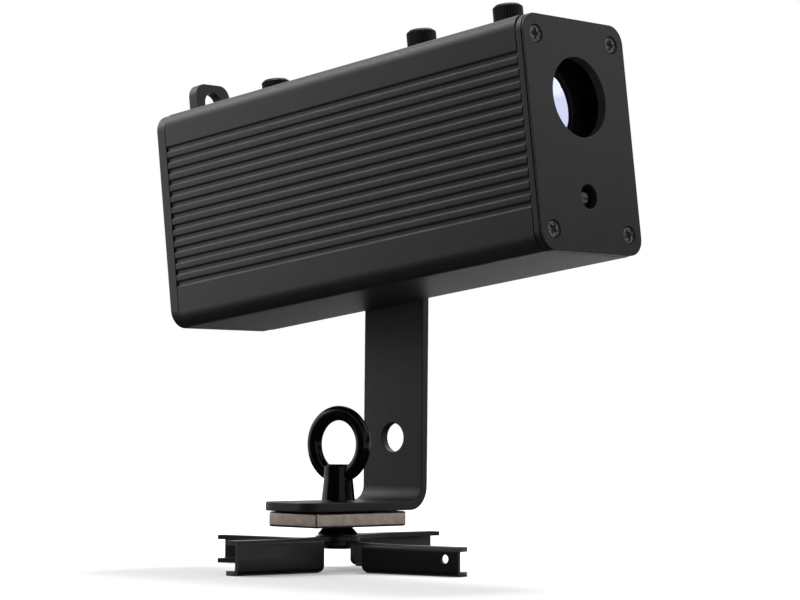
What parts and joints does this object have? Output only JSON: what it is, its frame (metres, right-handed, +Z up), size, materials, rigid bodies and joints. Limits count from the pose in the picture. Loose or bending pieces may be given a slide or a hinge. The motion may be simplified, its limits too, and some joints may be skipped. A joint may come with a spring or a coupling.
{
  "type": "gobo projector",
  "caption": "Small box-shaped gobo projector with ribbed sides on a one-sided tilt bracket, with an eye nut, a magnet and a scissor clip for ceiling grid bars.",
  "frame": {"origin": "centre of the overall footprint, on the surface that the clip's lips stand on", "axes": "+Z up, +X from the head's rear to its lens, +Y towards the bracket's upright"},
  "size_m": [0.1784, 0.114, 0.1851],
  "materials": {
    "black_coat": "black powder coat, fine orange peel, satin",
    "black_steel": "black powder-coated steel, satin",
    "black_screw": "blackened steel",
    "gloss_black": "gloss black enamel",
    "nickel": "satin nickel plate",
    "bare_steel": "bare steel",
    "black_anodised": "black anodised, machined",
    "bare_aluminium": "machined",
    "black_plastic": "moulded, fine grain",
    "optical_glass": "polished, blue anti-reflection coat",
    "white_board": "white solder mask",
    "emitter_gel": "yellow phosphor under clear silicone",
    "cell_sleeve": "blue shrink film",
    "green_board": "green solder mask",
    "sensor_lens": "dark infrared-pass plastic, gloss"
  },
  "bodies": {
    "bracket": {"tilt_bracket": "black_steel", "friction_washer": "black_plastic", "magnet_block": "nickel", "clip_stud": "black_screw", "cone_nut": "black_screw"},
    "head": {"housing_sleeve": "black_coat", "front_plate": "black_coat", "rear_plate": "black_coat", "front_screw_1": "black_screw", "front_screw_2": "black_screw", "front_screw_3": "black_screw", "front_screw_4": "black_screw", "rear_screw_1": "black_screw", "rear_screw_2": "black_screw", "rear_screw_3": "black_screw", "rear_screw_4": "black_screw", "gobo_gate": "black_anodised", "heat_spreader": "bare_aluminium", "led_board": "white_board", "led_emitter": "emitter_gel", "condenser_barrel": "black_anodised", "condenser_lens": "optical_glass", "battery_cell_1": "cell_sleeve", "battery_cell_2": "cell_sleeve", "battery_tray": "black_plastic", "control_board": "green_board", "sensor_eye": "sensor_lens", "switch_frame": "black_plastic", "charge_inlet": "black_plastic", "tilt_insert": "bare_steel"},
    "tilt_knob": {"tilt_knob": "black_plastic"},
    "eye_nut": {"eye_nut": "gloss_black"},
    "upper_arm": {"clip_arm_upper": "black_steel"},
    "lower_arm": {"clip_arm_lower": "black_steel"},
    "focus_slide": {"focus_carriage": "black_anodised", "focus_lens": "optical_glass", "focus_lens_ring": "black_anodised"},
    "focus_screw": {"focus_thumb_screw": "black_screw"},
    "zoom_slide": {"zoom_carriage": "black_anodised", "zoom_lens": "optical_glass", "zoom_lens_ring": "black_anodised"},
    "zoom_screw": {"zoom_thumb_screw": "black_screw"},
    "gobo_slide": {"gobo_holder": "black_anodised", "gobo_disc": "bare_steel", "gobo_retaining_ring": "bare_steel"},
    "gobo_screw": {"gobo_thumb_screw": "black_screw"},
    "switch": {"switch_paddle": "black_plastic"}
  },
  "joints": [
    {"name": "head_tilt", "type": "hinge", "parent": "bracket", "child": "head", "pos_m": [-0.02109, 0, 0.12684], "axis": [0, -1, 0], "range_deg": [-52.5, 37.5]},
    {"name": "tilt_knob_turn", "type": "hinge", "parent": "bracket", "child": "tilt_knob", "pos_m": [-0.02109, 0.035, 0.12684], "axis": [0, 1, 0], "continuous": true},
    {"name": "eye_nut_turn", "type": "hinge", "parent": "bracket", "child": "eye_nut", "pos_m": [-0.02109, 0, 0.03], "axis": [0, 0, 1], "continuous": true},
    {"name": "clip_swivel", "type": "hinge", "parent": "bracket", "child": "upper_arm", "pos_m": [-0.02109, 0, 0.01], "axis": [0, 0, 1], "continuous": true},
    {"name": "clip_scissor", "type": "hinge", "parent": "upper_arm", "child": "lower_arm", "pos_m": [-0.02109, 0, 0.009], "axis": [0, 0, 1], "range_deg": [-28, 74]},
    {"name": "focus_travel", "type": "slide", "parent": "head", "child": "focus_slide", "axis": [0.9915, 0, 0.1304], "range_m": [-0.012, 0.01]},
    {"name": "focus_screw_turn", "type": "hinge", "parent": "focus_slide", "child": "focus_screw", "pos_m": [0.05305, 0, 0.17996], "axis": [-0.1304, 0, 0.9915], "continuous": true},
    {"name": "zoom_travel", "type": "slide", "parent": "head", "child": "zoom_slide", "axis": [0.9915, 0, 0.1304], "range_m": [-0.018, 0.01]},
    {"name": "zoom_screw_turn", "type": "hinge", "parent": "zoom_slide", "child": "zoom_screw", "pos_m": [0.01538, 0, 0.175], "axis": [-0.1304, 0, 0.9915], "continuous": true},
    {"name": "gobo_lift", "type": "slide", "parent": "head", "child": "gobo_slide", "axis": [-0.1304, 0, 0.9915], "range_m": [0, 0.045]},
    {"name": "gobo_screw_turn", "type": "hinge", "parent": "gobo_slide", "child": "gobo_screw", "pos_m": [-0.05287, 0, 0.16401], "axis": [-0.1304, 0, 0.9915], "continuous": true},
    {"name": "switch_rock", "type": "hinge", "parent": "head", "child": "switch", "pos_m": [-0.0778, -0.008, 0.0982], "axis": [-0.1304, 0, 0.9915], "range_deg": [0, 9]}
  ]
}
